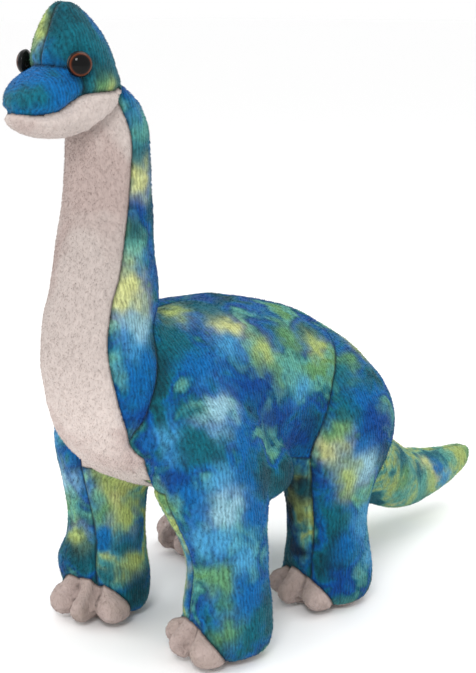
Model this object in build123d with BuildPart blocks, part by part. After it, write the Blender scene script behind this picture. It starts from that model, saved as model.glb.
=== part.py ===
"""A stuffed long-necked dinosaur that stands on four legs.

The toy is a sewn plush skin over loose polyester fill. It faces -Y, its left side is +X and it stands
on Z = 0. The skin is cut as separate panels, each a shell as thick as the pile fabric, and every limb
has its own fill. Where the toy bends, two bodies meet on a ball: the near body fills the ball, and the
far body is hollowed to clear it. The last lines print how far the toy was moved to centre its frame.
"""

import os
from math import copysign, cos, hypot, radians, sin

from build123d import *

# ---------------------------------------------------------------- driving dimensions, in millimetres
FABRIC = 2.4  # pile and backing together
SLACK = 0.2  # between the fabric and the fill behind it
JOINT_GAP = 0.6  # between two bodies at a soft joint
REACH = 700.0  # longer than the toy, for cutting tools

EYE_RADIUS = 7.0
EYE_DOME = 4.6  # how far the dome stands out of the fabric
EYE_POST_RADIUS = 2.0
EYE_POST = 13.0  # from the back of the dome to the end of the post
WASHER_RADIUS = 7.5
WASHER_THICKNESS = 1.6
EYE_HEIGHT = 353.0
EYE_TURN = 62.0  # degrees from straight ahead

LABEL = (0.6, 18.0, 26.0)  # a folded care label: thickness, width, length
LABEL_BACK = 128.0  # where along the body it is sewn in
LABEL_HEIGHT = 112.0

HEAD_NOD = 14.0  # degrees each way

# ---------------------------------------------------------------- stations of the soft forms
# Along the body: (y, centre height, half width, half height).
BODY = [
    (-88, 157, 5, 6),
    (-84, 157, 16, 18),
    (-75, 155.5, 32, 32.5),
    (-57, 153, 48, 48.5),
    (-28, 148.5, 60, 58),
    (10, 146, 67, 61),
    (55, 142.5, 69, 59),
    (98, 133, 66, 55),
    (133, 120, 55, 47),
    (157, 107, 37, 35),
    (170, 98, 20, 21),
    (176, 95, 7, 8),
]
TAIL = [
    (80, 118, 12, 10),
    (92, 116, 29, 22),
    (118, 106, 41, 35),
    (150, 83, 39.5, 36.5),
    (188, 58, 32, 31),
    (220, 42, 26, 26),
    (252, 36, 20, 20),
    (282, 37, 15.5, 15.5),
    (303, 40, 11, 11),
    (313, 42, 6, 6),
    (316, 42.5, 2, 2),
]
# Up the neck: (y, height, half width, half depth).
NECK = [
    (-32, 97, 14, 12),
    (-38, 106, 26, 24),
    (-47, 124, 34, 35),
    (-56, 150, 38, 39),
    (-62, 185, 37, 38.5),
    (-61, 218, 33, 35),
    (-59, 248, 29, 30),
    (-56, 278, 26.5, 26.5),
    (-56, 305, 24.5, 24.5),
    (-61, 330, 21, 20),
    (-68, 348, 13, 12),
]
# Up the head: (y, height, half width, half depth).
CROWN = [
    (-76, 314, 17, 20),
    (-80, 328, 26, 28),
    (-82, 343, 28.5, 30),
    (-83, 358, 26, 27),
    (-84, 370, 20, 20.5),
    (-85, 379, 12, 12.5),
    (-86, 384, 5, 5.5),
    (-86, 385, 1.6, 1.8),
]
# From the throat to the lips: (y, centre height, half width, half height).
MUZZLE = [
    (-84, 339, 20, 15),
    (-98, 339, 23.5, 17),
    (-109, 336, 22, 15),
    (-119, 332, 16.5, 10.5),
    (-125, 329.5, 9, 5.5),
    (-127.5, 329, 3, 2),
]
JAW = [
    (-62, 326, 12, 8),
    (-68, 325, 18, 11.5),
    (-82, 325, 22, 13.5),
    (-98, 324, 22.5, 13),
    (-112, 324, 20, 11),
    (-121, 325, 13.5, 7.5),
    (-125, 326, 7, 4.5),
    (-127, 326.5, 2.5, 1.8),
]

# Each leg: hip and foot centres on the floor plan, turn of the foot, half widths at the hip and ankle.
LEGS = {
    "front_left": dict(hip=(46, -24), foot=(67, -25), turn=-20, thigh=37, ankle=25.5),
    "front_right": dict(hip=(-41, -27), foot=(-35, -31), turn=15, thigh=32, ankle=25.5),
    "rear_left": dict(hip=(45, 92), foot=(54, 82), turn=-12, thigh=43, ankle=27),
    "rear_right": dict(hip=(-45, 92), foot=(-72, 96), turn=-22, thigh=43, ankle=28),
}
TOE_RADIUS = 12.0
TOE_LENGTH = 17.0
TOE_HEIGHT = 12.0
TOE_PLACES = [(-17, -18, -14), (0, -24, 0), (17, -18, 14)]  # across, ahead and turn, in the foot
TOE_LINE = -12.0  # the toe cap is sewn on ahead of this line across the foot

# Soft joints: centre, direction of the far body, radius of the ball.
JOINTS = {
    "neck": dict(centre=(0, -62, 202), towards=(0, 0, 1), ball=44),
    "head": dict(centre=(0, -58, 316), towards=(0, 0, 1), ball=28.5),
    "tail": dict(centre=(0, 168, 72), towards=(0, 0.86, -0.51), ball=41),
}
HIP_HEIGHT = 102.0
for leg_name, leg in LEGS.items():
    JOINTS[leg_name] = dict(
        centre=((leg["hip"][0] + leg["foot"][0]) / 2, (leg["hip"][1] + leg["foot"][1]) / 2, HIP_HEIGHT),
        towards=(0, 0, -1),
        ball=leg["thigh"] + 3.0,
    )

# The seam between the pale front panel and the coloured sides, seen from the side: (y, z).
FRONT_SEAM = [
    (-50, 345),
    (-57, 300),
    (-66, 248),
    (-79, 213),
    (-83, 185),
    (-75, 152),
    (-54, 121),
    (-26, 105),
    (20, 101),
    (75, 100),
    (112, 104),
]
# The seam between the lips, from the nose to the back of the head: (y, z).
MOUTH_SEAM = [
    (-130, 328.5),
    (-118, 326),
    (-107, 327.5),
    (-98, 332),
    (-92, 335.8),
    (-82, 337.4),
    (-45, 338),
]

LEVELS = {"skin": 0.0, "lining": FABRIC, "fill": FABRIC + SLACK}


# ---------------------------------------------------------------- forms
def drawn_in(places, radii, inset):
    """Each section's move along the axis and its loss of radius when a form is drawn in by the inset."""
    last = len(places) - 1
    sense = copysign(1.0, places[-1] - places[0])
    changes = [(inset * sense, inset * 0.3)]
    for index in range(1, last):
        run = abs(places[index + 1] - places[index - 1])
        rise = radii[index + 1] - radii[index - 1]
        changes.append((inset * sense * rise / hypot(run, rise), inset * run / hypot(run, rise)))
    changes.append((-inset * sense, inset * 0.3))
    return changes


def along_y(stations, inset):
    """A soft form with upright elliptical sections, each given as (y, height, half width, half height)."""
    changes = drawn_in([station[0] for station in stations], [station[2] for station in stations], inset)
    with BuildPart() as form:
        for (y, z, half_x, half_z), (move, loss) in zip(stations, changes):
            with BuildSketch(Plane(origin=(0, y + move, z), x_dir=(0, 0, 1), z_dir=(0, -1, 0))):
                Ellipse(half_z - loss, half_x - loss)
        loft()
    return form.part


def up_z(stations, inset):
    """A soft form with level elliptical sections, each given as (x, y, z, half width, half depth, turn)."""
    changes = drawn_in([station[2] for station in stations], [station[3] for station in stations], inset)
    with BuildPart() as form:
        for (x, y, z, half_x, half_y, turn), (move, loss) in zip(stations, changes):
            ahead = (cos(radians(turn)), sin(radians(turn)), 0)
            with BuildSketch(Plane(origin=(x, y, z + move), x_dir=ahead, z_dir=(0, 0, 1))):
                Ellipse(half_x - loss, half_y - loss)
        loft()
    return form.part


def leg_form(leg, inset):
    """A leg from inside the body down to the floor, narrowing to the ankle and spreading into the foot."""
    (hip_x, hip_y), (foot_x, foot_y) = leg["hip"], leg["foot"]
    turn, thigh, ankle = leg["turn"], leg["thigh"], leg["ankle"]
    middle = ((hip_x + foot_x) / 2, (hip_y + foot_y) / 2)
    stations = [
        (foot_x, foot_y, 0.0, ankle - 7, ankle - 6, turn),
        (foot_x, foot_y, 8.0, ankle + 0.5, ankle + 1.5, turn),
        (foot_x, foot_y, 24.0, ankle + 2.5, ankle + 3.5, turn),
        (foot_x, foot_y, 52.0, ankle, ankle, turn),
        (*middle, 92.0, (thigh + ankle) / 2, (thigh + ankle) / 2 + 2, turn / 2),
        (hip_x, hip_y, 124.0, thigh, thigh + 2, 0),
        (hip_x * 0.92, hip_y, 146.0, thigh * 0.85, thigh * 0.92, 0),
        (hip_x * 0.74, hip_y, 168.0, thigh * 0.52, thigh * 0.6, 0),
        (hip_x * 0.6, hip_y, 180.0, thigh * 0.18, thigh * 0.2, 0),
    ]
    return up_z(stations, inset)


def toe_form(leg, across, ahead, toe_turn, inset):
    """One rounded toe lying in front of the foot."""
    turn = radians(leg["turn"])
    x = leg["foot"][0] + across * cos(turn) - ahead * sin(turn)
    y = leg["foot"][1] + across * sin(turn) + ahead * cos(turn)
    heading = turn + radians(toe_turn)
    forward = (sin(heading), -cos(heading), 0)
    with BuildPart() as toe:
        with BuildSketch(Plane(origin=(x, y, TOE_HEIGHT), x_dir=forward, z_dir=(0, 0, 1))) as outline:
            Ellipse(TOE_LENGTH - inset, TOE_RADIUS - inset)
            Rectangle(3 * TOE_LENGTH, 3 * TOE_LENGTH, align=(Align.CENTER, Align.MAX), mode=Mode.SUBTRACT)
        revolve(axis=Axis((x, y, TOE_HEIGHT), forward))
    return toe.part


def beyond(joint, gap):
    """All the space past a soft joint's centre, outside its ball."""
    with BuildPart(Plane(origin=joint["centre"], z_dir=joint["towards"])) as space:
        Box(REACH, REACH, REACH, align=(Align.CENTER, Align.CENTER, Align.MIN))
        Sphere(joint["ball"] + gap, mode=Mode.SUBTRACT)
    return space.part


def combined(first, joined=(), cut=(), kept=()):
    """One form made of several: some joined to the first, some cut from it, some that it is kept within."""
    with BuildPart() as made:
        add(first)
        for form in joined:
            add(form)
        for form in cut:
            add(form, mode=Mode.SUBTRACT)
        for form in kept:
            add(form, mode=Mode.INTERSECT)
    return made.part


def half_space(origin, towards):
    """All the space on one side of a plane."""
    with BuildPart(Plane(origin=origin, z_dir=towards)) as space:
        Box(REACH, REACH, REACH, align=(Align.CENTER, Align.CENTER, Align.MIN))
    return space.part


def turned(form, joint, axis, angle):
    """A form turned about a soft joint's centre."""
    return form.rotate(Axis(joint["centre"], axis), angle)


LEFT_SIDE = half_space((0, 0, 0), (1, 0, 0))
RIGHT_SIDE = half_space((0, 0, 0), (-1, 0, 0))

# ---------------------------------------------------------------- skin, lining and fill of each soft body
# Turned a quarter round, so that the neck and the crown both close along the middle of the back.
neck_stations = [(0, y, z, half_y, half_x, 90) for y, z, half_x, half_y in NECK]
crown_stations = [(0, y, z, half_y, half_x, 90) for y, z, half_x, half_y in CROWN]
torso, neck, head, tail, legs = {}, {}, {}, {}, {name: {} for name in LEGS}
for level, inset in LEVELS.items():
    neck_form = up_z(neck_stations, inset)
    tail_form = along_y(TAIL, inset)
    leg_forms = {name: leg_form(leg, inset) for name, leg in LEGS.items()}
    roots = [combined(neck_form, cut=[beyond(JOINTS["neck"], 0)])]
    roots.append(combined(tail_form, cut=[beyond(JOINTS["tail"], 0)]))
    for name, form in leg_forms.items():
        roots.append(combined(form, cut=[beyond(JOINTS[name], 0)]))
    torso[level] = combined(along_y(BODY, inset), joined=roots)
    neck[level] = combined(
        neck_form, cut=[beyond(JOINTS["head"], 0)], kept=[beyond(JOINTS["neck"], JOINT_GAP)]
    )
    tail[level] = combined(tail_form, kept=[beyond(JOINTS["tail"], JOINT_GAP)])
    for name, form in leg_forms.items():
        toes = [toe_form(LEGS[name], *place, inset) for place in TOE_PLACES]
        lower = combined(form, kept=[beyond(JOINTS[name], JOINT_GAP)])
        legs[name][level] = combined(lower, joined=toes, kept=[half_space((0, 0, inset), (0, 0, 1))])
    clear_neck = up_z(neck_stations, -JOINT_GAP)
    nods = (-HEAD_NOD, 0, HEAD_NOD)
    swept_necks = [turned(clear_neck, JOINTS["head"], (1, 0, 0), angle) for angle in nods]
    above_neck = half_space(JOINTS["head"]["centre"], (0, 0, 1))
    lower_necks = [combined(form, cut=[above_neck]) for form in swept_necks]
    with BuildPart() as socket:
        with Locations(JOINTS["head"]["centre"]):
            Sphere(JOINTS["head"]["ball"] + JOINT_GAP)
    head[level] = combined(
        up_z(crown_stations, inset),
        joined=[along_y(MUZZLE, inset), along_y(JAW, inset)],
        cut=[socket.part, *lower_necks],
    )


# ---------------------------------------------------------------- cutting tools for the panels
with BuildPart() as front_of_seam:
    with BuildSketch(Plane.YZ):
        with BuildLine():
            seam = Spline(*FRONT_SEAM)
            Polyline(seam @ 1, (112, -REACH / 2), (-REACH / 2, -REACH / 2), (-REACH / 2, 345), seam @ 0)
        make_face()
    extrude(amount=REACH / 2, both=True)

with BuildPart() as below_mouth:
    with BuildSketch(Plane.YZ):
        with BuildLine():
            lips = Spline(*MOUTH_SEAM)
            Polyline(lips @ 1, (MOUTH_SEAM[-1][0], 200), (MOUTH_SEAM[0][0], 200), lips @ 0)
        make_face()
    extrude(amount=REACH / 2, both=True)


def shell(solids):
    """The fabric of one body: its outer form less its lining."""
    return combined(solids["skin"], cut=[solids["lining"]])


# ---------------------------------------------------------------- eyes, posts and washers
EYE_MIDDLE = (0.0, -82.5, EYE_HEIGHT)
EYE_OUT = 27.3  # from the middle of the head to the fabric behind the dome


def eye_plane(side):
    """The plane behind one eye's dome, facing out of the head; side is 1 for the left, -1 for the right."""
    outward = Vector(side * sin(radians(EYE_TURN)), -cos(radians(EYE_TURN)), 0)
    return Plane(origin=Vector(*EYE_MIDDLE) + outward * EYE_OUT, z_dir=tuple(outward))


def eye_form(side, clearance=0.0):
    """A safety eye: a shallow dome with a post behind it."""
    dome_ball = (EYE_RADIUS**2 + EYE_DOME**2) / (2 * EYE_DOME)
    with BuildPart(eye_plane(side)) as eye:
        with Locations((0, 0, EYE_DOME - dome_ball)):
            Sphere(dome_ball)
        Box(REACH, REACH, REACH, align=(Align.CENTER, Align.CENTER, Align.MAX), mode=Mode.SUBTRACT)
        Cylinder(EYE_RADIUS, FABRIC * 0.5, align=(Align.CENTER, Align.CENTER, Align.MAX))
        post_align = (Align.CENTER, Align.CENTER, Align.MAX)
        Cylinder(EYE_POST_RADIUS + clearance, EYE_POST, align=post_align)
    return eye.part


def washer_form(side, clearance=0.0):
    """The lock washer that is pushed along the post until it clamps the fabric."""
    with BuildPart(eye_plane(side)) as washer:
        with Locations((0, 0, -EYE_POST * 0.62)):
            Cylinder(WASHER_RADIUS + clearance, WASHER_THICKNESS + 2 * clearance)
            Cylinder(EYE_POST_RADIUS + 2.2 + clearance, 2 * WASHER_THICKNESS + 2 * clearance)
        if not clearance:
            post_align = (Align.CENTER, Align.CENTER, Align.MAX)
            Cylinder(EYE_POST_RADIUS, EYE_POST, align=post_align, mode=Mode.SUBTRACT)
    return washer.part


SIDES = {"left": (1, LEFT_SIDE), "right": (-1, RIGHT_SIDE)}
CLEARANCE = 0.15

# ---------------------------------------------------------------- the pieces
pieces = {}
torso_shell = shell(torso)
skin_legs = [leg_form(leg, -0.05) for leg in LEGS.values()]
belly = combined(torso_shell, kept=[front_of_seam.part], cut=skin_legs).solids().sort_by(SortBy.VOLUME)[-1]
flanks = combined(torso_shell, cut=[belly])
pieces["torso_fill"] = torso["fill"]
pieces["belly_panel"] = belly
for side, (_, half) in SIDES.items():
    pieces[f"flank_{side}"] = combined(flanks, kept=[half])

neck_shell = shell(neck)
pieces["neck_fill"] = neck["fill"]
pieces["throat_panel"] = combined(neck_shell, kept=[front_of_seam.part])
neck_sides = combined(neck_shell, cut=[front_of_seam.part])
for side, (_, half) in SIDES.items():
    pieces[f"neck_{side}"] = combined(neck_sides, kept=[half])

head_shell = shell(head)
around_crown = up_z(crown_stations, -SLACK)
eyes = {side: eye_form(sign, CLEARANCE) for side, (sign, _) in SIDES.items()}
pockets = [washer_form(sign, CLEARANCE) for sign, _ in SIDES.values()]
pieces["head_fill"] = combined(head["fill"], cut=[*eyes.values(), *pockets])
pieces["jaw_panel"] = combined(head_shell, kept=[below_mouth.part], cut=eyes.values())
upper_head = combined(head_shell, cut=[below_mouth.part, *eyes.values()])
pieces["muzzle_panel"] = combined(upper_head, cut=[around_crown])
pieces["crown_panel"] = combined(upper_head, kept=[around_crown])
for side, (sign, _) in SIDES.items():
    pieces[f"eye_{side}"] = eye_form(sign)
    pieces[f"eye_washer_{side}"] = washer_form(sign)

tail_shell = shell(tail)
pieces["tail_fill"] = tail["fill"]
for side, (_, half) in SIDES.items():
    pieces[f"tail_{side}"] = combined(tail_shell, kept=[half])

for name, leg in LEGS.items():
    turn = radians(leg["turn"])
    across = (cos(turn), sin(turn), 0)
    foot = Vector(*leg["foot"], 0)
    behind = Vector(-sin(turn), cos(turn), 0)
    toe_front = half_space(foot + behind * TOE_LINE, (sin(turn), -cos(turn), -0.35))
    outer_side = 1 if "left" in name else -1
    outer_half = half_space(foot, (outer_side * across[0], outer_side * across[1], 0))
    leg_shell = shell(legs[name])
    floor_slab = combined(leg_shell, cut=[half_space((0, 0, FABRIC), (0, 0, 1))])
    upright = combined(leg_shell, kept=[half_space((0, 0, FABRIC), (0, 0, 1))])
    shank = combined(upright, cut=[toe_front])
    pieces[f"{name}_fill"] = legs[name]["fill"]
    pieces[f"{name}_sole"] = floor_slab
    pieces[f"{name}_toe_cap"] = combined(upright, kept=[toe_front])
    pieces[f"{name}_outer"] = combined(shank, kept=[outer_half])
    pieces[f"{name}_inner"] = combined(shank, cut=[outer_half])

with BuildPart(Plane(origin=(-58, LABEL_BACK, LABEL_HEIGHT), z_dir=(0, 0, 1))) as care_label:
    Box(LABEL[2], LABEL[0], LABEL[1], align=(Align.MAX, Align.CENTER, Align.CENTER))
pieces["care_label"] = combined(care_label.part, cut=[torso["skin"]])

# ---------------------------------------------------------------- one frame for all
# The origin is under the middle of the toy's box, on the floor.
boxes = [piece.bounding_box() for piece in pieces.values()]
middle_x = (min(box.min.X for box in boxes) + max(box.max.X for box in boxes)) / 2
middle_y = (min(box.min.Y for box in boxes) + max(box.max.Y for box in boxes)) / 2
to_origin = Location((-middle_x, -middle_y, 0))
print("moved by", round(-middle_x, 3), round(-middle_y, 3))

os.makedirs("parts", exist_ok=True)
for name, piece in pieces.items():
    placed = piece.moved(to_origin)
    placed.label = name
    export_step(placed, f"parts/{name}.step")
    print(name, len(placed.solids()), round(placed.volume))
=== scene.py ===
"""A stuffed long-necked dinosaur of tie-dyed plush, made as it is sewn: bag, panels, then trim."""

from math import cos, radians, sin

import bmesh
import bpy
import numpy as np
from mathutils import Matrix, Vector, noise
from mathutils.kdtree import KDTree


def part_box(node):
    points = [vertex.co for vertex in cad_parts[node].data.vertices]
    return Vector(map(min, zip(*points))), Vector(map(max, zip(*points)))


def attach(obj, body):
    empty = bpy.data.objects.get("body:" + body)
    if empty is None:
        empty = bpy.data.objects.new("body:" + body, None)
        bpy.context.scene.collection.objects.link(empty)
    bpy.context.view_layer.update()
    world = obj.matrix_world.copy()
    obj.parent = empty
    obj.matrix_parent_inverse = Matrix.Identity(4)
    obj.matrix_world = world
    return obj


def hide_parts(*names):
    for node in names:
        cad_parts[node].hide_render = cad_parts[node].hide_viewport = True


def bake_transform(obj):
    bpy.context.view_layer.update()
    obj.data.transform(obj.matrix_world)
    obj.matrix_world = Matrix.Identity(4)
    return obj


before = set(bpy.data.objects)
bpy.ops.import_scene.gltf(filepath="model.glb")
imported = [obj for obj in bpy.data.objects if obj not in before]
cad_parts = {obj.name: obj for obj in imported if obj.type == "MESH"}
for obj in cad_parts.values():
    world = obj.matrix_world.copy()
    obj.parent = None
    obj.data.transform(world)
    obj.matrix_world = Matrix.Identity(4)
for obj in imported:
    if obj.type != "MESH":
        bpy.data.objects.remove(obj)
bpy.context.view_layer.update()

noise.seed_set(7)

# ---------------------------------------------------------------- the stuffed bag
# The body, neck, tail and legs are one bag of plush, sewn inside out, turned and stuffed hard with loose
# polyester. The fabric swells between its seams, and the seams pull in.
MIDDLE = (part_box("eye_left")[0].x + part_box("eye_right")[1].x) / 2 * 1000
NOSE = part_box("muzzle_panel")[0].y * 1000 + 127.5
LEGS = {
    "front_left": dict(hip=(46, -24), foot=(67, -25), turn=-20, seam=3, tilt=0.1, cap=8),
    "front_right": dict(hip=(-41, -27), foot=(-35, -31), turn=15, seam=5, tilt=-0.05, cap=4),
    "rear_left": dict(hip=(45, 92), foot=(54, 82), turn=-12, seam=5, tilt=-0.35, cap=8),
    "rear_right": dict(hip=(-45, 92), foot=(-72, 96), turn=-22, seam=-5, tilt=0.35, cap=-3),
}
# Seams seen from the side, as (y, z) in millimetres in the toy's own frame, nose to tail and top to bottom.
FRONT_SEAM = [
    (-68, 345), (-62, 328), (-57, 302), (-66, 248), (-78, 215), (-82.5, 188), (-76, 155), (-60, 122),
    (-30, 106),
    (20, 101), (75, 100), (112, 104),
]
SHOULDER_SEAM = [
    (12, 222), (-24, 209), (-44, 204), (-51, 186), (-59, 167), (-64, 150), (-67, 138), (-70, 115),
]
THIGH_SEAM = [(150, 200), (118, 187), (87, 167), (65, 142), (55, 118), (54, 100), (54, 80)]
TOE_CREASE = 8.6  # from the middle of the foot to the crease on each side of the middle toe


def copied(nodes, name):
    """One mesh object made of merged copies of CAD nodes."""
    bm = bmesh.new()
    for node in nodes:
        bm.from_mesh(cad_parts[node].data)
    bmesh.ops.remove_doubles(bm, verts=bm.verts, dist=1e-6)
    return as_object(bm, name)


def as_object(bm, name):
    """A new object at the origin that holds this mesh."""
    mesh = bpy.data.meshes.new(name)
    bm.to_mesh(mesh)
    bm.free()
    obj = bpy.data.objects.new(name, mesh)
    bpy.context.collection.objects.link(obj)
    return obj


def alone(obj):
    """Makes this the only selected object, and the active one."""
    bpy.ops.object.select_all(action="DESELECT")
    obj.select_set(True)
    bpy.context.view_layer.objects.active = obj


def worked(obj, kind, **settings):
    """Adds a modifier with these settings and applies it."""
    modifier = obj.modifiers.new(kind, kind)
    for name, value in settings.items():
        setattr(modifier, name, value)
    alone(obj)
    bpy.ops.object.modifier_apply(modifier=modifier.name)


def rows_of(items, what, width, kind=float):
    """One property of every item of a mesh, as rows of numbers."""
    values = np.zeros(len(items) * width, kind)
    items.foreach_get(what, values)
    return values.reshape(-1, width)


def points_of(mesh, what="co"):
    """Every vertex's place, or its normal, as an array."""
    return rows_of(mesh.vertices, what, 3)


def put_points(mesh, points):
    """Moves every vertex."""
    mesh.vertices.foreach_set("co", np.ascontiguousarray(points, dtype=float).ravel())
    mesh.update()


def toy(points):
    """Places in the toy's own frame, in millimetres."""
    return np.asarray(points) * 1000 - np.array([MIDDLE, NOSE, 0.0])


def spot(x, y, z):
    """A place in the row frame, in metres, from one in the toy's own frame in millimetres."""
    return ((x + MIDDLE) / 1000, (y + NOSE) / 1000, z / 1000)


def outermost(obj):
    """Keeps only the outer surface of a remeshed solid."""
    bm = bmesh.new()
    bm.from_mesh(obj.data)
    bm.verts.ensure_lookup_table()
    part = np.full(len(bm.verts), -1)
    sizes = []
    for start in bm.verts:
        if part[start.index] >= 0:
            continue
        part[start.index] = len(sizes)
        stack, size = [start], 0
        while stack:
            vert = stack.pop()
            size += 1
            for edge in vert.link_edges:
                other = edge.other_vert(vert)
                if part[other.index] < 0:
                    part[other.index] = len(sizes)
                    stack.append(other)
        sizes.append(size)
    keep = int(np.argmax(sizes))
    bmesh.ops.delete(bm, geom=[v for v in bm.verts if part[v.index] != keep], context="VERTS")
    bm.to_mesh(obj.data)
    bm.free()


def smooth_line(points, steps=8):
    """A soft curve through points, as many short runs."""
    points = np.array(points, float)
    ends = np.vstack([2 * points[0] - points[1], points, 2 * points[-1] - points[-2]])
    line = []
    for a, b, c, d in zip(ends, ends[1:], ends[2:], ends[3:]):
        for t in np.arange(steps) / steps:
            bend = (2 * a - 5 * b + 4 * c - d) * t**2 + (3 * b - a - 3 * c + d) * t**3
            line.append(0.5 * (2 * b + (c - a) * t + bend))
    return np.array(line + [points[-1]])


def beside(points, seam):
    """Distance in millimetres from a seam seen from the side, below zero ahead of it or under it."""
    line = smooth_line(seam)
    flat = toy(points)[:, 1:]
    best, side = np.full(len(flat), 1e9), np.ones(len(flat))
    for a, b in zip(line, line[1:]):
        run = b - a
        t = np.clip(((flat - a) @ run) / (run @ run), 0, 1)
        away = flat - a - t[:, None] * run
        far = np.hypot(away[:, 0], away[:, 1])
        nearer = far < best
        best[nearer] = far[nearer]
        cross = run[0] * (flat[:, 1] - a[1]) - run[1] * (flat[:, 0] - a[0])
        side[nearer] = np.sign(cross[nearer] + 1e-9)
    return best * side


def front_panel_side(points):
    """Below zero on the pale panel, which narrows to a tongue between the legs."""
    x, y, z = toy(points).T
    stations = [-90, -80, -70, -60, -50, -30, 0, 50, 90, 112]
    width = np.interp(y, stations, [60, 38, 34, 32, 26, 18, 15, 14, 7, -6])
    return np.maximum(beside(points, FRONT_SEAM), np.abs(x) - width - np.clip((z - 138) * 4, 0, 200))


def leg_place(points, name):
    """Across and back from the middle of a leg, in millimetres, and how far from it in plan."""
    leg = LEGS[name]
    x, y, z = toy(points).T
    share = np.clip((z - 56) / 70, 0, 1)
    middle_x = leg["foot"][0] + (leg["hip"][0] - leg["foot"][0]) * share
    middle_y = leg["foot"][1] + (leg["hip"][1] - leg["foot"][1]) * share
    turn = np.radians(leg["turn"] * (1 - share))
    across = (x - middle_x) * np.cos(turn) + (y - middle_y) * np.sin(turn)
    back = -(x - middle_x) * np.sin(turn) + (y - middle_y) * np.cos(turn)
    return across, back, np.hypot(x - middle_x, y - middle_y)


def outer_side(points, name):
    """Above zero on the outer side of a leg's two seams."""
    across, back, _ = leg_place(points, name)
    outward = 1 if name.endswith("left") else -1
    return outward * (across - LEGS[name]["seam"] - LEGS[name]["tilt"] * back)


def toe_side(points, name):
    """Below zero on the toe cap: ahead of a line across the foot that leans back as it rises."""
    _, back, _ = leg_place(points, name)
    return back + LEGS[name]["cap"] + 0.7 * toy(points)[:, 2]


def ridge(distance, width):
    """One on a line, falling away softly on both sides of it."""
    return np.exp(-((distance / width) ** 2))


def ramp(value, start, run):
    """Zero up to start, then rising to one over the run."""
    return np.clip((value - start) / run, 0, 1)


def puffed(obj, held, travel, last_frame=20):
    """Lets the fabric swell under the fill's pressure, held at its seams, by the travel at most."""
    before = points_of(obj.data)
    group = obj.vertex_groups.new(name="held")
    for index in np.nonzero(held > 0.05)[0]:
        group.add([int(index)], float(held[index]), "REPLACE")
    cloth = obj.modifiers.new("puff", "CLOTH")
    cloth.settings.use_pressure = True
    cloth.settings.uniform_pressure_force = 4
    cloth.settings.quality = 5
    cloth.settings.mass = 0.3
    cloth.settings.tension_stiffness = 12
    cloth.settings.compression_stiffness = 12
    cloth.settings.bending_stiffness = 0.4
    cloth.settings.vertex_group_mass = "held"
    cloth.settings.effector_weights.gravity = 0
    cloth.point_cache.frame_start, cloth.point_cache.frame_end = 1, last_frame
    for number in range(1, last_frame + 1):
        bpy.context.scene.frame_set(number)
    after = obj.evaluated_get(bpy.context.evaluated_depsgraph_get())
    move = points_of(after.data) - before
    obj.modifiers.remove(cloth)
    obj.vertex_groups.remove(group)
    bpy.context.scene.frame_set(1)
    length = np.linalg.norm(move, axis=1)[:, None] + 1e-9
    put_points(obj.data, before + move / length * travel * np.tanh(length / travel))


LEG_NODES = [f"{leg}_{part}" for leg in LEGS for part in ("fill", "sole", "toe_cap", "outer", "inner")]
bag = copied(["torso_fill", "belly_panel", "flank_left", "flank_right", "neck_fill", "throat_panel",
              "neck_left", "neck_right", "tail_fill", "tail_left", "tail_right", *LEG_NODES], "bag")
# Extra stuffing behind each shoulder, where the flank runs down into the back of the front leg.
for sign in (-1, 1):
    bpy.ops.object.select_all(action="DESELECT")
    behind_shoulder = spot(sign * 61, 12, 106)
    bpy.ops.mesh.primitive_ico_sphere_add(
        subdivisions=4, radius=1, location=behind_shoulder, scale=(0.019, 0.024, 0.02)
    )
    bpy.ops.object.transform_apply()
    bag.select_set(True)
    bpy.context.view_layer.objects.active = bag
    bpy.ops.object.join()
worked(bag, "REMESH", mode="VOXEL", voxel_size=0.0035)
outermost(bag)
worked(bag, "SMOOTH", factor=0.5, iterations=7)

# Deep creases: between the toes, round each foot, and where the legs and the neck leave the body.
place, out = points_of(bag.data), points_of(bag.data, "normal")
x, y, z = toy(place).T
from_front, from_shoulder = beside(place, FRONT_SEAM), beside(place, SHOULDER_SEAM)
deep = np.zeros(len(place))
for name in LEGS:
    across, back, away = leg_place(place, name)
    from_cap = toe_side(place, name)
    at_toes = (away < 62) & (back < -14) & (z < 34)
    for crease in (-TOE_CREASE, TOE_CREASE):
        spread = 1 + np.clip(-back - 24, 0, 30) * 0.008
        deep += at_toes * 8.0 * ridge(across - crease * spread, 2.4) * ramp(-from_cap, 0, 6)
    deep += ((away < 60) & (z < 60)) * 1.3 * ridge(from_cap, 3.0)
    deep += ((away < 60) & (z < 125)) * 1.1 * ridge(outer_side(place, name), 2.6) * ramp(-z, -120, 10)
deep += 1.5 * ridge(front_panel_side(place), 2.8)
deep += ((z > 112) & (from_front > -3)) * 2.2 * ridge(from_shoulder, 3.2)
deep += (z > 88) * 1.6 * ridge(beside(place, THIGH_SEAM), 2.8) * (np.abs(x) > 6)
deep += 0.9 * ridge(x, 2.2) * (from_front > 4)
# The cuff of the right front leg flares outwards, and the nape is fuller than the rest of the neck.
across, _, away = leg_place(place, "front_right")
flare = 8.0 * ridge(z - 37, 13) * (away < 60) * ramp(-across, 0, 30)
nape = 3.6 * ramp(z, 285, 30) * ramp(-z, -341, 14) * ramp(y, -66, 12)
put_points(bag.data, place + out * (flare + nape - deep - 0.9)[:, None] / 1000)
puffed(bag, np.clip(deep / 1.5, 0, 1), 0.0028)

# Soft hollows and swells that the stuffing leaves in the fabric.
place, out = points_of(bag.data), points_of(bag.data, "normal")
wide = np.array([noise.noise(Vector(p) * 26) for p in place])
small = np.array([noise.noise(Vector(p) * 60 + Vector((7, 3, 1))) for p in place])
put_points(bag.data, place + out * (wide * 1.3 + small * 0.7)[:, None] / 1000)
worked(bag, "SUBSURF", levels=1, render_levels=1)


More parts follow.
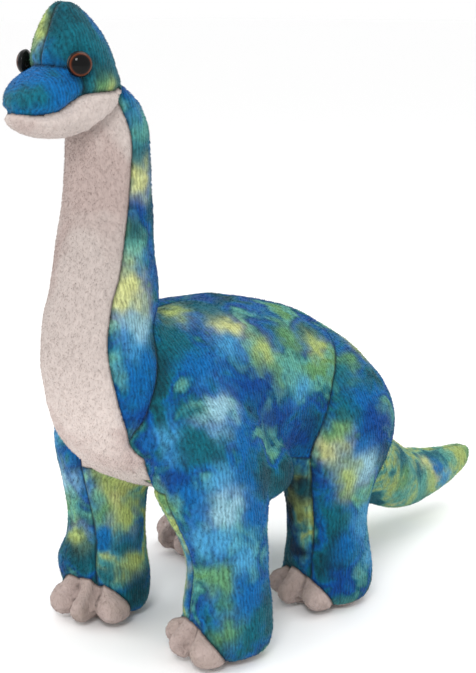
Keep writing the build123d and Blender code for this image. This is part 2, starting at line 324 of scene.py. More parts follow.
# ---------------------------------------------------------------- cutting the bag into its panels
# The bag is sewn from separate panels of plush. Each is a sheet of its own about 2 mm thick, and where two
# meet, both edges turn in to the stitching.
LEG_TOP = 104  # where a leg's inner panel ends at the belly
SOLE_LEVEL = 3  # where a sole meets the upright fabric
TAIL_START = 8  # where the tail's halves begin, along the tail


def split_along(bm, field, near, margin=8):
    """Splits faces where the field changes sign, within a margin of it and where near is true."""
    verts = list(bm.verts)
    order = {vert: number for number, vert in enumerate(verts)}
    place = np.array([vert.co for vert in verts])
    values = field(place)
    allowed, value = (np.abs(values) < margin) & near(place), np.full(len(place), 1.0)
    value[allowed] = values[allowed]
    value[np.abs(value) < 0.15] = 0.0
    line = [vert for vert, here, f in zip(verts, allowed, value) if here and f == 0.0]
    for edge in list(bm.edges):
        a, b = (order[vert] for vert in edge.verts)
        if allowed[a] and allowed[b] and value[a] * value[b] < 0:
            line.append(bmesh.utils.edge_split(edge, edge.verts[0], value[a] / (value[a] - value[b]))[1])
    bmesh.ops.connect_verts(bm, verts=line)


def tail_way(points):
    """How far along the tail a point lies, in millimetres."""
    _, y, z = toy(points).T
    return (y - 150) * 0.86 - (z - 83) * 0.51


def across_body(points):
    """How far to the left of the toy's middle each point is, in millimetres."""
    return toy(points)[:, 0]


def leg_zone(points, name, top=118):
    """True near one leg, below a height."""
    return (leg_place(points, name)[2] < 58) & (toy(points)[:, 2] < top)


bm = bmesh.new()
bm.from_mesh(bag.data)
split_along(bm, front_panel_side, lambda p: (toy(p)[:, 1] < 116) & (toy(p)[:, 2] > 60))
split_along(bm, lambda p: beside(p, SHOULDER_SEAM), lambda p: (toy(p)[:, 1] < 20) & (toy(p)[:, 2] > 110))
split_along(bm, lambda p: tail_way(p) - TAIL_START, lambda p: toy(p)[:, 1] > 129)
split_along(bm, lambda p: beside(p, THIGH_SEAM), lambda p: toy(p)[:, 2] > 84)
split_along(bm, across_body, lambda p: np.full(len(p), True))
split_along(bm, lambda p: toy(p)[:, 2] - SOLE_LEVEL, lambda p: toy(p)[:, 2] < 10)
for name in LEGS:
    seam_top = 122 if name.startswith("front") else LEG_TOP
    split_along(bm, lambda p: outer_side(p, name), lambda p: leg_zone(p, name, seam_top))
    split_along(bm, lambda p: toy(p)[:, 2] - LEG_TOP, lambda p: leg_zone(p, name) & (outer_side(p, name) < 4))
    split_along(bm, lambda p: toe_side(p, name), lambda p: leg_zone(p, name, 60))
bm.to_mesh(bag.data)
bm.free()


def panel_of(points, normals):
    """The name of the panel that each face belongs to."""
    x, y, z = toy(points).T
    side = np.where(x > 0, "left", "right")
    names = np.char.add("flank_", side).astype("U24")
    behind = ((beside(points, THIGH_SEAM) > 0) & (z > 88)) | ((y > 60) & (z <= 88) & (z > 60))
    names[behind] = np.char.add("hind_", side)[behind]
    on_tail = (tail_way(points) > TAIL_START) & (y > 129)
    names[on_tail] = np.char.add("tail_", side)[on_tail]
    for name in LEGS:
        here = leg_zone(points, name, LEG_TOP) & ~on_tail
        inner, lower = here & (outer_side(points, name) < 0), here & (outer_side(points, name) >= 0)
        names[lower] = name.replace("front", "flank").replace("rear", "hind")
        names[inner] = f"{name}_inner"
        foot = leg_zone(points, name, 60)
        names[foot & (toe_side(points, name) < 0)] = f"{name}_toes"
        names[foot & (z < SOLE_LEVEL) & (normals[:, 2] < -0.3)] = f"{name}_pad"
    ahead = (beside(points, SHOULDER_SEAM) < 0) & (z > 112) & (y < 25)
    names[ahead] = np.char.add("neck_", side)[ahead]
    on_leg = np.zeros(len(x), bool)
    for name in LEGS:
        on_leg |= leg_place(points, name)[2] < (41 if name.startswith("front") else 45)
    names[(front_panel_side(points) < 0) & (y < 114) & (z > 60) & ~(on_leg & (z < LEG_TOP))] = "front"
    return names


def split_panels(whole, namer, prefix=""):
    """Cuts one bag into an object for each panel name, and returns them by name."""
    mesh = whole.data
    labels = namer(rows_of(mesh.polygons, "center", 3), rows_of(mesh.polygons, "normal", 3))
    made = {}
    for label in sorted(set(labels)):
        bm = bmesh.new()
        bm.from_mesh(mesh)
        bm.faces.ensure_lookup_table()
        gone = [bm.faces[index] for index in np.nonzero(labels != label)[0]]
        bmesh.ops.delete(bm, geom=gone, context="FACES")
        made[str(label)] = as_object(bm, prefix + str(label))
    return made


panels = split_panels(bag, panel_of)


# ---------------------------------------------------------------- the plush: dye, pile and turned-in edges
# Short polyester pile on a knitted back. The cloth is dipped and dabbed with dye before it is cut, so soft
# patches of blue, teal, aqua and yellow-green run into each other.
def dye(red, green, blue):
    """A colour named as it is mixed, 0 to 255, as linear light. Pile swallows a fifth of it."""
    return tuple(0.8 * ((value / 255 + 0.055) / 1.055) ** 2.4 for value in (red, green, blue))


PINE, TEAL, BLUE, DEEP = dye(8, 70, 82), dye(10, 98, 114), dye(6, 102, 168), dye(0, 66, 138)
AQUA, LEAF = dye(92, 164, 152), dye(96, 150, 100)
TIE_DYE = [(-0.6, PINE), (-0.32, TEAL), (-0.08, BLUE), (0.1, DEEP), (0.26, TEAL), (0.48, AQUA), (0.72, LEAF)]


def mottled(points, stops=TIE_DYE, size=25.0, seed=0.0):
    """Dye that runs through a list of colours as soft noise rises from about -0.6 to 0.6."""
    values = []
    for x, y, z in toy(points):
        p = Vector((x + seed, y, z * 0.85)) / size
        p += noise.noise_vector(p * 1.7) * 0.35
        values.append(noise.noise(p) * 1.15 + noise.noise(p * 3.1) * 0.34 + noise.noise(p * 7.0) * 0.2)
    marks, colours = [stop[0] for stop in stops], np.array([stop[1] for stop in stops])
    return np.stack([np.interp(values, marks, colours[:, channel]) for channel in range(3)], axis=1)


def dabbed(points, ground, dabs):
    """Dabs on the ground colours, of dye and in one place of painted shade: each is (x, y, z, radius,
    colour), in the toy's frame.
    """
    place = toy(points)
    warp, fleck = [], []
    for x, y, z in place:
        p = Vector((x, y, z))
        warp.append(noise.noise_vector(p / 24) * 0.6 + noise.noise_vector(p / 8) * 0.4)
        fleck.append(noise.noise(p / 4.5) * 0.3 + noise.noise(Vector((x, y, z * 0.4)) / 6) * 0.35)
    warp, fleck = np.array(warp), np.array(fleck)
    colours = ground.copy()
    for x, y, z, radius, colour in dabs:
        away = (place - (x, y, z)) / radius + warp * min(1.0, 16 / radius)
        share = np.clip(1.15 * np.exp(-1.5 * (away**2).sum(1)) * (1 + fleck), 0, 0.92)[:, None]
        colours = colours * (1 - share) + np.array(colour) * share
    return colours


def paint(obj, colours):
    """Keeps the colours, dye with painted light and shade where given, on every vertex."""
    # The attribute called dye holds the whole colour, painted light and shade included.
    layer = obj.data.attributes.new("dye", "FLOAT_COLOR", "POINT")
    layer.data.foreach_set("color", np.hstack([colours, np.ones((len(colours), 1))]).ravel())


def turned_in(obj, depth=0.0011, reach=2.4):
    """Turns a panel's edges in towards the stitching, and keeps the distance from it in millimetres."""
    bm = bmesh.new()
    bm.from_mesh(obj.data)
    edge_points = []
    for edge in bm.edges:
        if edge.is_boundary:
            edge_points += [edge.verts[0].co.copy(), (edge.verts[0].co + edge.verts[1].co) / 2]
    bm.free()
    tree = KDTree(len(edge_points))
    for number, point in enumerate(edge_points):
        tree.insert(point, number)
    tree.balance()
    place, out = points_of(obj.data), points_of(obj.data, "normal")
    away = np.array([min(tree.find(point)[2] * 1000, 12.0) for point in place])
    put_points(obj.data, place - out * (depth * np.exp(-((away / reach) ** 2)))[:, None])
    layer = obj.data.attributes.new("seam", "FLOAT", "POINT")
    layer.data.foreach_set("value", away)


def pile_on(obj, comb, length=0.0015, per_mm2=0.62, wave=0.9, seed=1, uneven=0.16):
    """Pile: short tapered fibres that lean the way the plush is combed, joined to the panel."""
    chance = np.random.RandomState(seed)
    mesh = obj.data
    mesh.calc_loop_triangles()
    corners = rows_of(mesh.loop_triangles, "vertices", 3, int)
    place, out = points_of(mesh), points_of(mesh, "normal")
    first, second, third = (place[corners[:, number]] for number in range(3))
    area = np.linalg.norm(np.cross(second - first, third - first), axis=1) / 2
    count = int(area.sum() * 1e6 * per_mm2)
    chosen = corners[chance.choice(len(corners), count, p=area / area.sum())]
    share = chance.dirichlet((1, 1, 1), count)[:, :, None]
    root, up = (place[chosen] * share).sum(1), (out[chosen] * share).sum(1)
    up /= np.linalg.norm(up, axis=1)[:, None] + 1e-9
    colours = rows_of(mesh.attributes["dye"].data, "color", 4)
    tint = (colours[chosen] * share).sum(1)
    tint[:, :3] *= chance.uniform(1 - uneven, 1 + uneven, (count, 1))
    seam = rows_of(mesh.attributes["seam"].data, "value", 1)
    edge = (seam[chosen] * share).sum(1)[:, 0]
    swirl = [noise.noise_vector(Vector(p) * 45) + noise.noise_vector(Vector(p) * 130) * 0.5 for p in root]
    swirl = np.array(swirl)
    way = np.array(comb, float) + swirl * wave + chance.normal(0, 0.25, (count, 3))
    way -= up * (way * up).sum(1)[:, None]
    way /= np.linalg.norm(way, axis=1)[:, None] + 1e-9
    near_seam = np.clip(0.45 + edge / 4, 0.45, 1)[:, None]
    reach = length * chance.uniform(0.65, 1.15, count)[:, None] * near_seam
    lean = chance.uniform(0.3, 0.65, count)[:, None]
    side = np.cross(up, way)
    width, sunk = 0.0002, 0.0004
    base = root - up * sunk
    ring = [base + side * width, base - side * width, base + up * width * 1.6 - way * width]
    tip = root + (up * lean + way * (1 - lean * 0.4)) * reach
    verts = np.stack([*ring, tip], axis=1).reshape(-1, 3)
    start = np.arange(count)[:, None] * 4
    sides = [start + corner for corner in ((0, 2, 3), (2, 1, 3), (1, 0, 3), (0, 1, 2))]
    faces = np.concatenate(sides, axis=1).reshape(-1, 3)
    fibres = bpy.data.meshes.new("pile")
    fibres.from_pydata(verts.tolist(), [], faces.tolist())
    pile = bpy.data.objects.new("pile", fibres)
    bpy.context.collection.objects.link(pile)
    shade = np.repeat(tint[:, None, :3], 4, axis=1)
    # Painted shade at the root of each fibre, down in the pile, and painted light at its tip.
    shade[:, :3] *= 0.85
    shade[:, 3] *= 1.08
    paint(pile, np.clip(shade.reshape(-1, 3), 0, 1))
    fibres.attributes.new("seam", "FLOAT", "POINT").data.foreach_set("value", np.repeat(edge, 4))
    alone(obj)
    pile.select_set(True)
    bpy.ops.object.join()


def new_material(name):
    """A material with a shader, and the shader."""
    material = bpy.data.materials.new(name)
    material.use_nodes = True
    return material, material.node_tree.nodes["Principled BSDF"]


def feed(material, node, inputs):
    """Sets a node's sockets, each to a plain value or from another node's output."""
    for name, value in inputs.items():
        if isinstance(value, bpy.types.NodeSocket):
            material.node_tree.links.new(value, node.inputs[name])
        else:
            node.inputs[name].default_value = value


def made_by(material, kind, output, inputs=None, **settings):
    """Adds a shader node to a material, feeds it, and returns its output."""
    node = material.node_tree.nodes.new("ShaderNode" + kind)
    for name, value in settings.items():
        setattr(node, name, value)
    feed(material, node, inputs or {})
    return node.outputs[output]


def plush(name, streaks, contrast):
    """Pile fabric that takes its colour from the dye on it, with fibre-sized light and shade, and painted
    shade in the creases along its seams.
    """
    cloth, shader = new_material(name)
    where = made_by(cloth, "TexCoord", "Object")
    dyed = made_by(cloth, "Attribute", "Color", attribute_name="dye")
    seam = made_by(cloth, "Attribute", "Fac", attribute_name="seam")
    stretched = made_by(cloth, "Mapping", "Vector", {"Vector": where, "Scale": streaks})
    tuft_look = {"Vector": stretched, "Scale": 1.0, "Detail": 3.0, "Distortion": 0.9}
    tufts = made_by(cloth, "TexNoise", "Fac", tuft_look)
    row_look = {"Vector": where, "Scale": 160.0, "Distortion": 5.0, "Detail Scale": 1.2}
    rows = made_by(cloth, "TexWave", "Fac", row_look, bands_direction="Y")
    fine = made_by(cloth, "TexNoise", "Fac", {"Vector": where, "Scale": 1400.0, "Detail": 1.0})
    pattern = made_by(cloth, "Mix", "Result", {"Factor": contrast * 0.45, "A": tufts, "B": rows})
    light_and_shade = {
        "Value": pattern, "From Min": 0.28, "From Max": 0.72,
        "To Min": 1 - contrast, "To Max": 1 + contrast * 0.8,
    }
    shade = made_by(cloth, "MapRange", "Result", light_and_shade)
    # Painted shade in the seam creases: the colour darkens to 0.4 at a panel's turned-in edge and recovers by
    # 1.6 mm from it.
    seam_shade_range = {"Value": seam, "From Min": 0.3, "From Max": 1.6, "To Min": 0.4}
    seam_crease_shade = made_by(cloth, "MapRange", "Result", seam_shade_range)
    both = made_by(cloth, "Math", "Value", {0: shade, 1: seam_crease_shade}, operation="MULTIPLY")
    tinted = made_by(cloth, "VectorMath", "Vector", {0: dyed, "Scale": both}, operation="SCALE")
    rough = made_by(cloth, "Bump", "Normal", {"Strength": 0.7, "Distance": 0.0012, "Height": pattern})
    fibres = {"Strength": 0.4, "Distance": 0.0005, "Height": fine, "Normal": rough}
    grain = made_by(cloth, "Bump", "Normal", fibres)
    feed(cloth, shader, {
        "Base Color": tinted, "Normal": grain, "Roughness": 0.82, "Specular IOR Level": 0.15,
        "Sheen Weight": 0.06, "Sheen Roughness": 0.45,
    })
    return cloth


COLOURED = plush("tie-dyed plush", (420, 420, 230), 0.42)
GREY = plush("pale plush", (380, 380, 260), 0.12)


FABRIC = 0.0016  # the knitted back


def sewn(obj, name, colours, material, comb, **pile):
    """Finishes one panel: its colours, dye with painted light and shade where given, its turned-in edge, its
    thickness and its pile.
    """
    obj.name = name
    paint(obj, colours)
    turned_in(obj)
    worked(obj, "SOLIDIFY", thickness=FABRIC, offset=-1)
    obj.data.polygons.foreach_set("use_smooth", np.ones(len(obj.data.polygons), bool))
    pile_on(obj, comb, uneven=0.05 if material == GREY else 0.16, **pile)
    obj.data.materials.clear()
    obj.data.materials.append(material)


def side_dabs(dabs, sign):
    """Dabs given for the left side, or their mirror image for the right."""
    return [(sign * x, y, z, radius, colour) for x, y, z, radius, colour in dabs]


# ---------------------------------------------------------------- the front panel
# One long piece of pale plush from the throat down the chest and under the belly. Painted light makes it
# paler low on the chest, where light bounces up from the floor, and painted shade darkens it up the throat.
# It bends where the neck leaves the body.
PALE, ROSE = dye(208, 195, 189), dye(192, 173, 167)
PALE_DYE = [(-0.5, ROSE), (0.0, PALE), (0.4, PALE)]
front = panels["front"]
place = points_of(front.data)
# Painted light and shade by height: lighter low on the chest for the floor's bounce light, darker up the
# throat.
bounce_light_and_throat_shade = np.interp(toy(place)[:, 2], [105, 150, 190, 250, 310], [1.25, 1.15, 0.94, 0.86, 0.94])
colours = mottled(place, PALE_DYE, 60.0) * bounce_light_and_throat_shade[:, None]
sewn(front, "front_panel", colours, GREY, (0.1, 0.1, -1), seed=2)
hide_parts("throat_panel", "belly_panel", "neck_fill", "torso_fill")
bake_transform(front)

# ---------------------------------------------------------------- the sides of the neck
# Two tie-dyed strips of plush, sewn together down the back of the neck and to the front panel at its edges.
# Each ends in a point low on the chest.
SIDES = {"left": 1, "right": -1}
SKY, ICE, STRAW = dye(72, 152, 198), dye(152, 198, 214), dye(208, 212, 142)
neck_dabs = [
    (24, -52, 335, 14, BLUE), (21, -50, 318, 12, AQUA), (24, -50, 303, 11, TEAL), (26, -54, 287, 14, STRAW),
    (27, -57, 268, 13, DEEP), (28, -60, 254, 10, PINE), (29, -60, 244, 9, AQUA), (30, -68, 226, 14, STRAW),
    (34, -64, 207, 11, ICE), (35, -68, 192, 13, SKY), (37, -62, 182, 15, BLUE), (38, -66, 166, 17, BLUE),
    (39, -68, 150, 13, DEEP), (8, -28, 300, 18, TEAL), (6, -26, 262, 18, BLUE), (8, -26, 230, 16, AQUA),
]
for side, sign in SIDES.items():
    strip = panels[f"neck_{side}"]
    place = points_of(strip.data)
    colours = dabbed(place, mottled(place), side_dabs(neck_dabs, sign))
    sewn(strip, f"neck_side_{side}", colours, COLOURED, (0, 0.1, -1), seed=3)
    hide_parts(f"neck_{side}")
    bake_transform(strip)

# ---------------------------------------------------------------- the flanks
# The largest panels, of tie-dyed plush: each is sewn to the other along the spine, and runs over the shoulder
# and on down the outside of a front leg.
LIME = dye(172, 190, 110)
flank_dabs = {
    "left": [
        (4, 20, 208, 12, DEEP), (4, 60, 204, 12, DEEP), (16, -22, 205, 13, LIME), (24, 6, 203, 13, TEAL),
        (39, 4, 195, 12, STRAW),
        (34, 44, 197, 12, BLUE), (56, 19, 180, 13, LIME), (50, 48, 184, 11, LEAF), (52, 70, 177, 12, LIME),
        (63, 34, 169, 12, AQUA),
        (38, -35, 192, 13, TEAL), (52, -32, 176, 13, BLUE), (51, -7, 183, 12, SKY), (64, 1, 160, 17, DEEP),
        (67, -31, 154, 13, ICE),
        (58, -47, 155, 11, TEAL), (53, -59, 139, 11, SKY), (68, -49, 138, 10, TEAL),
        (78, -26, 137, 13, BLUE), (67, 14, 139, 13, DEEP),
        (68, 38, 153, 12, SKY), (63, 44, 119, 19, DEEP), (52, 38, 100, 14, BLUE), (56, -62, 116, 16, DEEP),
        (68, -57, 105, 13, BLUE),
        (79, -44, 117, 12, SKY), (85, -25, 114, 13, BLUE), (83, -40, 99, 13, ICE), (88, -19, 88, 15, BLUE),
        (76, -49, 81, 14, SKY),
        (88, -36, 68, 13, SKY), (81, -46, 52, 12, LEAF), (92, -32, 46, 13, BLUE), (87, -44, 27, 12, LEAF),
        (95, -26, 24, 14, TEAL),
        (80, -50, 14, 12, PINE), (90, 0, 60, 18, BLUE), (88, 2, 24, 18, TEAL),
    ],
    "right": [
        (-4, 20, 208, 12, DEEP), (-4, 60, 204, 12, DEEP), (-30, -20, 200, 14, TEAL),
        (-43, -59, 93, 12, ICE), (-50, -52, 120, 13, SKY),
        (-38, -56, 60, 12, LIME), (-44, -50, 40, 12, PINE), (-60, -20, 150, 18, BLUE),
        (-64, 20, 160, 16, LIME), (-66, 10, 128, 16, DEEP),
        (-62, 40, 178, 14, AQUA), (-66, -24, 104, 14, BLUE), (-64, -30, 70, 14, LEAF),
        (-58, -20, 30, 16, TEAL),
    ],
}
for side in SIDES:
    flank = panels[f"flank_{side}"]
    place = points_of(flank.data)
    colours = dabbed(place, mottled(place), flank_dabs[side])
    sewn(flank, f"flank_{side}_panel", colours, COLOURED, (0, 0.5, -0.8), seed=4)
    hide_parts(f"flank_{side}", f"front_{side}_outer", f"front_{side}_fill")
    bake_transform(flank)

# ---------------------------------------------------------------- the haunches
# The hind panels, of the same plush, are sewn to the flanks in front of the thigh and run down the outside of
# the back legs. They meet on the rump, and the tail is sewn to them.
hind_dabs = [
    (64, 87, 160, 12, LEAF), (65, 76, 156, 10, TEAL), (76, 72, 142, 12, TEAL), (82, 89, 140, 14, BLUE),
    (88, 97, 120, 17, DEEP),
    (77, 60, 125, 11, LEAF), (79, 62, 112, 13, STRAW), (87, 90, 126, 14, DEEP), (87, 79, 110, 13, BLUE),
    (81, 72, 90, 13, LIME),
    (84, 84, 96, 12, ICE), (76, 62, 72, 12, TEAL), (80, 89, 59, 14, SKY), (80, 74, 46, 12, BLUE),
    (81, 94, 33, 12, SKY),
    (78, 69, 24, 12, DEEP), (60, 130, 130, 20, BLUE), (30, 150, 120, 20, TEAL), (40, 120, 165, 18, LIME),
    (84, 104, 70, 14, BLUE),
]
for side, sign in SIDES.items():
    haunch = panels[f"hind_{side}"]
    place = points_of(haunch.data)
    colours = dabbed(place, mottled(place, seed=sign * 40), side_dabs(hind_dabs, sign))
    sewn(haunch, f"haunch_{side}", colours, COLOURED, (0, 0.3, -1), seed=5)
    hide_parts(f"rear_{side}_outer", f"rear_{side}_fill")
    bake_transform(haunch)

# ---------------------------------------------------------------- the insides of the legs
# A narrower panel of tie-dyed plush closes each leg on its inner side and is sewn to the belly at the top.
# Painted shade, not a dye: near-black navy put down the front of the left hind leg, where the shade under the
# belly falls.
BELLY_GAP_SHADE = dye(8, 26, 50)
INNER_DYE = [(-0.5, TEAL), (-0.1, BLUE), (0.2, AQUA), (0.4, LIME)]
inner_dabs = {
    "front_left": [
        (48, -60, 112, 9, PINE), (46, -58, 100, 9, LEAF), (50, -54, 82, 11, LIME), (56, -50, 60, 12, BLUE),
        (60, -50, 40, 12, DEEP),
    ],
    "front_right": [
        (-16, -55, 110, 10, LIME), (-14, -52, 96, 13, LIME), (-12, -44, 84, 12, STRAW),
        (-20, -52, 76, 11, LEAF), (-12, -30, 72, 12, LIME),
        (-16, -50, 60, 12, BLUE), (-10, -36, 52, 11, TEAL), (-10, -32, 38, 10, LIME),
        (-14, -46, 32, 11, TEAL), (-8, -28, 22, 12, PINE),
    ],
    "rear_left": [
        # The three darkest dabs are painted shade under the belly, on the front of the leg.
        (44, 56, 90, 16, BELLY_GAP_SHADE), (46, 54, 66, 16, BELLY_GAP_SHADE), (48, 52, 42, 15, BELLY_GAP_SHADE), (60, 56, 84, 10, PINE),
        (40, 60, 24, 14, PINE),
    ],
    "rear_right": [(-52, 66, 60, 16, TEAL), (-56, 68, 36, 16, LIME), (-50, 80, 80, 14, BLUE)],
}
for name in LEGS:
    inside = panels[f"{name}_inner"]
    place = points_of(inside.data)
    colours = dabbed(place, mottled(place, INNER_DYE, seed=15), inner_dabs[name])
    sewn(inside, f"{name}_inside", colours, COLOURED, (0, 0.2, -1), seed=6)
    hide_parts(f"{name}_inner")
    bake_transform(inside)

# ---------------------------------------------------------------- the tail
# Two halves of tie-dyed plush, greener than the body, sewn along the top and underneath. They are stuffed to
# a firm cone that turns up a little at its end.
TAIL_DYE = [(-0.5, TEAL), (-0.2, AQUA), (0.1, LIME), (0.35, AQUA), (0.5, STRAW)]
tail_dabs = [
    (25, 196, 71, 15, TEAL), (31, 195, 50, 12, LEAF), (27, 211, 53, 11, AQUA), (24, 222, 50, 9, TEAL),
    (16, 238, 50, 9, STRAW),
    (20, 240, 34, 9, LIME), (18, 252, 44, 10, BLUE), (18, 262, 32, 11, SKY), (12, 275, 46, 10, AQUA),
    (12, 294, 44, 12, LIME),
    (8, 306, 42, 9, LEAF), (23, 228, 34, 10, AQUA), (24, 200, 34, 12, AQUA),
]
for side, sign in SIDES.items():
    half = panels[f"tail_{side}"]
    place = points_of(half.data)
    colours = dabbed(place, mottled(place, TAIL_DYE, 20), side_dabs(tail_dabs, sign))
    sewn(half, f"tail_half_{side}", colours, COLOURED, (0, 0.9, -0.3), seed=7)
    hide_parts(f"tail_{side}", "tail_fill")
    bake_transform(half)

# ---------------------------------------------------------------- the toes and the soles
# Each foot ends in a cap of pale plush, drawn in by hand stitching into three round toes, and stands on a
# flat sole of the same plush. Both are sewn to the leg's panels.
SHORT_PILE = 0.0012
TOE = dye(180, 162, 154)
for name, leg in LEGS.items():
    forward = (sin(radians(leg["turn"])), -cos(radians(leg["turn"])), -0.4)
    for part, node in (("toes", "toe_cap"), ("pad", "sole")):
        piece = panels[f"{name}_{part}"]
        place = points_of(piece.data)
        # Painted shade along the creases between the toes, where the stitching draws them in.
        toe_crease_shade = ridge(np.abs(leg_place(place, name)[0]) - TOE_CREASE, 0.9) * (part == "toes")
        colours = mottled(place, [(-0.5, TOE), (0.4, ROSE)], 20.0) * (1 - 0.6 * toe_crease_shade[:, None])
        sewn(piece, f"{name}_{part}", colours, GREY, forward, seed=8, length=SHORT_PILE)
        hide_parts(f"{name}_{node}")
        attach(piece, f"leg_{name}")
bpy.data.objects.remove(bag)

# ---------------------------------------------------------------- the head
# A bag of its own: a tall egg-shaped crown in two halves, a round muzzle cap let into its front, and a chin
# of pale plush that runs back to the neck. It is stuffed, drawn in at the eyes and sewn on the neck.
MOUTH_SEAM = [(-132, 329), (-118, 326), (-107, 327.5), (-98, 332), (-92, 335.8), (-82, 337.4), (-40, 338)]


def muzzle_side(points):
    """Below zero on the muzzle, which is a broad round arch seen from the front."""
    x, y, z = toy(points).T
    half_wide, half_high, mean = 26.5, 20.5, 23
    arch = ((np.abs(x) / half_wide) ** 3 + (np.abs(z - 332) / half_high) ** 3) ** (1 / 3)
    return np.maximum(arch * mean - mean, y + 92)


def head_panel(points, normals):
    """The name of the head panel that each face belongs to."""
    names = np.where(toy(points)[:, 0] > 0, "crown_left", "crown_right").astype("U24")
    names[muzzle_side(points) < 0] = "muzzle"
    names[beside(points, MOUTH_SEAM) < 0] = "chin"
    return names


EYE_MIDDLE, EYE_TURN = Vector((0, -82.5, 353)), radians(62)


def eye_way(sign):
    """The way that one eye faces."""
    return Vector((sign * sin(EYE_TURN), -cos(EYE_TURN), 0))


head = copied(["head_fill", "crown_panel", "muzzle_panel", "jaw_panel"], "head_bag")
worked(head, "REMESH", mode="VOXEL", voxel_size=0.0019)
outermost(head)
worked(head, "SMOOTH", factor=0.5, iterations=8)

# Creases along its seams and a hollow at each eye.
place, out = points_of(head.data), points_of(head.data, "normal")
x, y, z = toy(place).T
from_mouth, from_muzzle = beside(place, MOUTH_SEAM), muzzle_side(place)
deep = 1.6 * ridge(from_mouth, 2.4) * (y < -50)
deep += 1.5 * ridge(from_muzzle, 2.4) * (z > 328)
deep += 0.5 * ridge(x, 1.6) * (z > 345)
for sign in (-1, 1):
    eye = EYE_MIDDLE + eye_way(sign) * 27.3
    deep += 1.8 * np.exp(-((np.linalg.norm(toy(place) - eye, axis=1) / 9.5) ** 4))
lumps = np.array([noise.noise(Vector(p) * 40) * 0.8 for p in place])
inside = np.clip(-from_muzzle, 0, 20) * (from_mouth > 0) * (z > 322)
swell = 2.3 * (1 - ridge(inside, 5)) * np.clip((y + 118) / 9, -1.6, 1)
put_points(head.data, place - out * (deep + 0.7 - lumps - swell)[:, None] / 1000)

# The stuffing draws the crown in a little, pulls the brow back and lifts the tip.
x, y, z = toy(points_of(head.data)).T
slim = 1 - 0.08 * ramp(z, 338, 12)
brow = 3.2 * ramp(-y, 93, 10) * ramp(z, 344, 10)
shaped = np.stack([x * slim, -83 + (y + 83) * slim + brow, z + 3 * ramp(z, 350, 35)], axis=1)
put_points(head.data, (shaped + (MIDDLE, NOSE, 0)) / 1000)
worked(head, "SUBSURF", levels=1, render_levels=1)
bm = bmesh.new()
bm.from_mesh(head.data)
split_along(bm, lambda p: beside(p, MOUTH_SEAM), lambda p: np.full(len(p), True), 6)
split_along(bm, muzzle_side, lambda p: beside(p, MOUTH_SEAM) > -1, 6)
split_along(bm, across_body, lambda p: (beside(p, MOUTH_SEAM) > -1) & (muzzle_side(p) > -1), 6)
bm.to_mesh(head.data)
bm.free()
parts = split_panels(head, head_panel, "part_")

head_dabs = [
    (4, -105, 372, 8, PINE), (-9, -100, 372, 13, LIME), (-16, -104, 356, 12, LEAF),
    (-20, -100, 346, 9, LEAF), (-14, -108, 364, 9, STRAW),
    (8, -94, 379, 12, PINE), (15, -101, 366, 12, TEAL), (18, -90, 371, 11, TEAL), (18, -105, 352, 10, PINE),
    (8, -110, 356, 9, BLUE),
    (25, -85, 360, 11, TEAL), (27, -84, 350, 9, PINE), (27, -74, 352, 9, TEAL), (28, -79, 342, 8, LEAF),
    (27, -72, 340, 8, LIME),
    (22, -62, 350, 12, TEAL), (12, -60, 366, 14, TEAL), (-22, -72, 360, 14, BLUE), (-26, -80, 344, 11, AQUA),
]
muzzle_dabs = [
    (4, -112, 349, 12, BLUE), (-12, -112, 346, 12, BLUE), (22, -101, 345, 9, BLUE),
    (21, -106, 333, 9, BLUE), (14, -118, 337, 9, TEAL),
    (6, -124, 334, 10, TEAL), (-6, -125, 332, 10, TEAL), (-18, -112, 334, 10, TEAL),
]
CROWN_DYE = [(-0.45, PINE), (-0.1, TEAL), (0.25, BLUE)]
for part, name, dabs in (
    ("crown_left", "crown_left_half", [dab for dab in head_dabs if dab[0] > 0]),
    ("crown_right", "crown_right_half", [dab for dab in head_dabs if dab[0] < 0]),
    ("muzzle", "muzzle_cap", muzzle_dabs),
):
    piece = parts[part]
    place = points_of(piece.data)
    colours = dabbed(place, mottled(place, CROWN_DYE, seed=9), dabs)
    sewn(piece, name, colours, COLOURED, (0.2, -0.6, -0.7), seed=9, length=SHORT_PILE)
    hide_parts("muzzle_panel" if part == "muzzle" else "crown_panel")
    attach(piece, "head")
chin = parts["chin"]
colours = mottled(points_of(chin.data), PALE_DYE, 40.0)
sewn(chin, "chin", colours, GREY, (0, 0.4, -0.9), seed=10, length=SHORT_PILE)
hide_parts("jaw_panel", "head_fill")
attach(chin, "head")
bpy.data.objects.remove(head)

# ---------------------------------------------------------------- the eyes
# Safety eyes, 14 mm across: a clear plastic dome over a brown iris, with a large black pupil, made here as
# one glossy dome painted with the iris and pupil. The post behind each goes through the fabric, and a white
# plastic washer is pressed on it inside the head.
def plastic(name, colour, roughness=0.25):
    """A plain plastic, faintly uneven."""
    material, shader = new_material(name)
    where = made_by(material, "TexCoord", "Object")
    wear = made_by(material, "TexNoise", "Fac", {"Vector": where, "Scale": 90})
    least_and_most = {"Value": wear, "To Min": roughness - 0.04, "To Max": roughness + 0.04}
    uneven = made_by(material, "MapRange", "Result", least_and_most)
    feed(material, shader, {"Base Color": (*colour, 1), "Roughness": uneven})
    return material


def dome(name, centre, outward):
    """A shallow plastic dome with a flatter back, closed all round."""
    radius, height, sink = 7.2, 5.2, 2.4
    bpy.ops.object.select_all(action="DESELECT")
    bpy.ops.mesh.primitive_uv_sphere_add(segments=64, ring_count=56, radius=radius / 1000)
    obj = bpy.context.object
    obj.name = name
    for vert in obj.data.vertices:
        vert.co.z *= (height if vert.co.z > 0 else sink) / radius
    obj.rotation_euler = outward.to_track_quat("Z", "Y").to_euler()
    obj.location = spot(*centre)
    bpy.ops.object.transform_apply()
    bpy.ops.object.shade_smooth()
    return obj


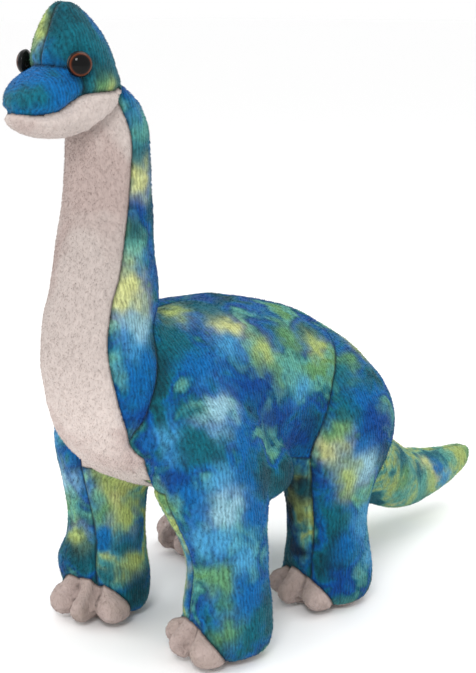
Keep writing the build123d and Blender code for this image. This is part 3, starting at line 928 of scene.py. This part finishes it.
EYE = plastic("eye plastic", (0, 0, 0), 0.06)
painted = made_by(EYE, "Attribute", "Color", attribute_name="dye")
feed(EYE, EYE.node_tree.nodes["Principled BSDF"], {"Base Color": painted, "Specular IOR Level": 0.14})
PUPIL, IRIS, IRIS_EDGE, RIM = (0.002,) * 3, dye(74, 34, 18), dye(110, 54, 28), (0.004,) * 3
for side, sign in SIDES.items():
    outward = eye_way(sign)
    back = EYE_MIDDLE + outward * 26.4
    eye = dome(f"{side}_eye", back, outward)
    eye.data.materials.append(EYE)
    offset = toy(points_of(eye.data)) - np.array(back)
    height = offset @ np.array(outward)
    radius = np.linalg.norm(offset - height[:, None] * np.array(outward), axis=1)
    rings = zip(PUPIL, IRIS, IRIS_EDGE, RIM)
    shades = np.stack([np.interp(radius, [4.9, 5.5, 5.9, 6.4], channel) for channel in rings], axis=1)
    paint(eye, np.where(height[:, None] < 0.2, 0.006, shades))
    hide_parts(f"eye_{side}")
    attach(eye, "head")
    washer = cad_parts[f"eye_washer_{side}"]
    washer.data.materials.clear()
    washer.data.materials.append(plastic("washer plastic", (0.8, 0.8, 0.78), 0.4))

# ---------------------------------------------------------------- the care label
# A folded strip of white satin, 18 mm wide, sewn into the seam at the back of the right haunch. It is blank,
# and its edges are cut with heat.
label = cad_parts["care_label"]
label.data.materials.clear()
label.data.materials.append(plastic("label satin", (0.82, 0.82, 0.8), 0.45))

# ---------------------------------------------------------------- the setting
# A pale paper floor that runs back as far as can be seen, with soft studio light from both sides and above,
# and the camera.
bpy.ops.object.select_all(action="DESELECT")
bpy.ops.mesh.primitive_plane_add(size=60)
floor = bpy.context.object
floor.name = "floor"
floor.data.materials.append(plastic("pale paper", (0.99, 0.99, 0.99), 0.8))
world = bpy.data.worlds.new("studio")
bpy.context.scene.world = world
world.use_nodes = True
world.node_tree.nodes["Background"].inputs["Color"].default_value = (1, 1, 1, 1)
world.node_tree.nodes["Background"].inputs["Strength"].default_value = 1.0
for name, where, size, power in (
    ("key", (0.9, -1.3, 1.3), 0.45, 13),
    ("left", (-1.4, -0.7, 0.9), 1.0, 5),
    ("top", (0.0, 0.5, 1.7), 1.2, 8),
):
    lamp = bpy.data.lights.new(name, "AREA")
    lamp.size, lamp.energy = size, power
    light = bpy.data.objects.new(name, lamp)
    bpy.context.collection.objects.link(light)
    light.location = where
    towards_toy = Vector((0, 0, 0.18)) - Vector(where)
    light.rotation_euler = towards_toy.to_track_quat("-Z", "Y").to_euler()
lens = bpy.data.cameras.new("camera")
lens.lens, lens.sensor_width = 80.24, 36
camera = bpy.data.objects.new("camera", lens)
bpy.context.collection.objects.link(camera)
camera.location = spot(660.84, -631.05, 385)
camera.rotation_euler = (radians(77.5), 0, radians(44))
bpy.context.scene.camera = camera
bpy.context.scene.view_settings.view_transform = "Standard"
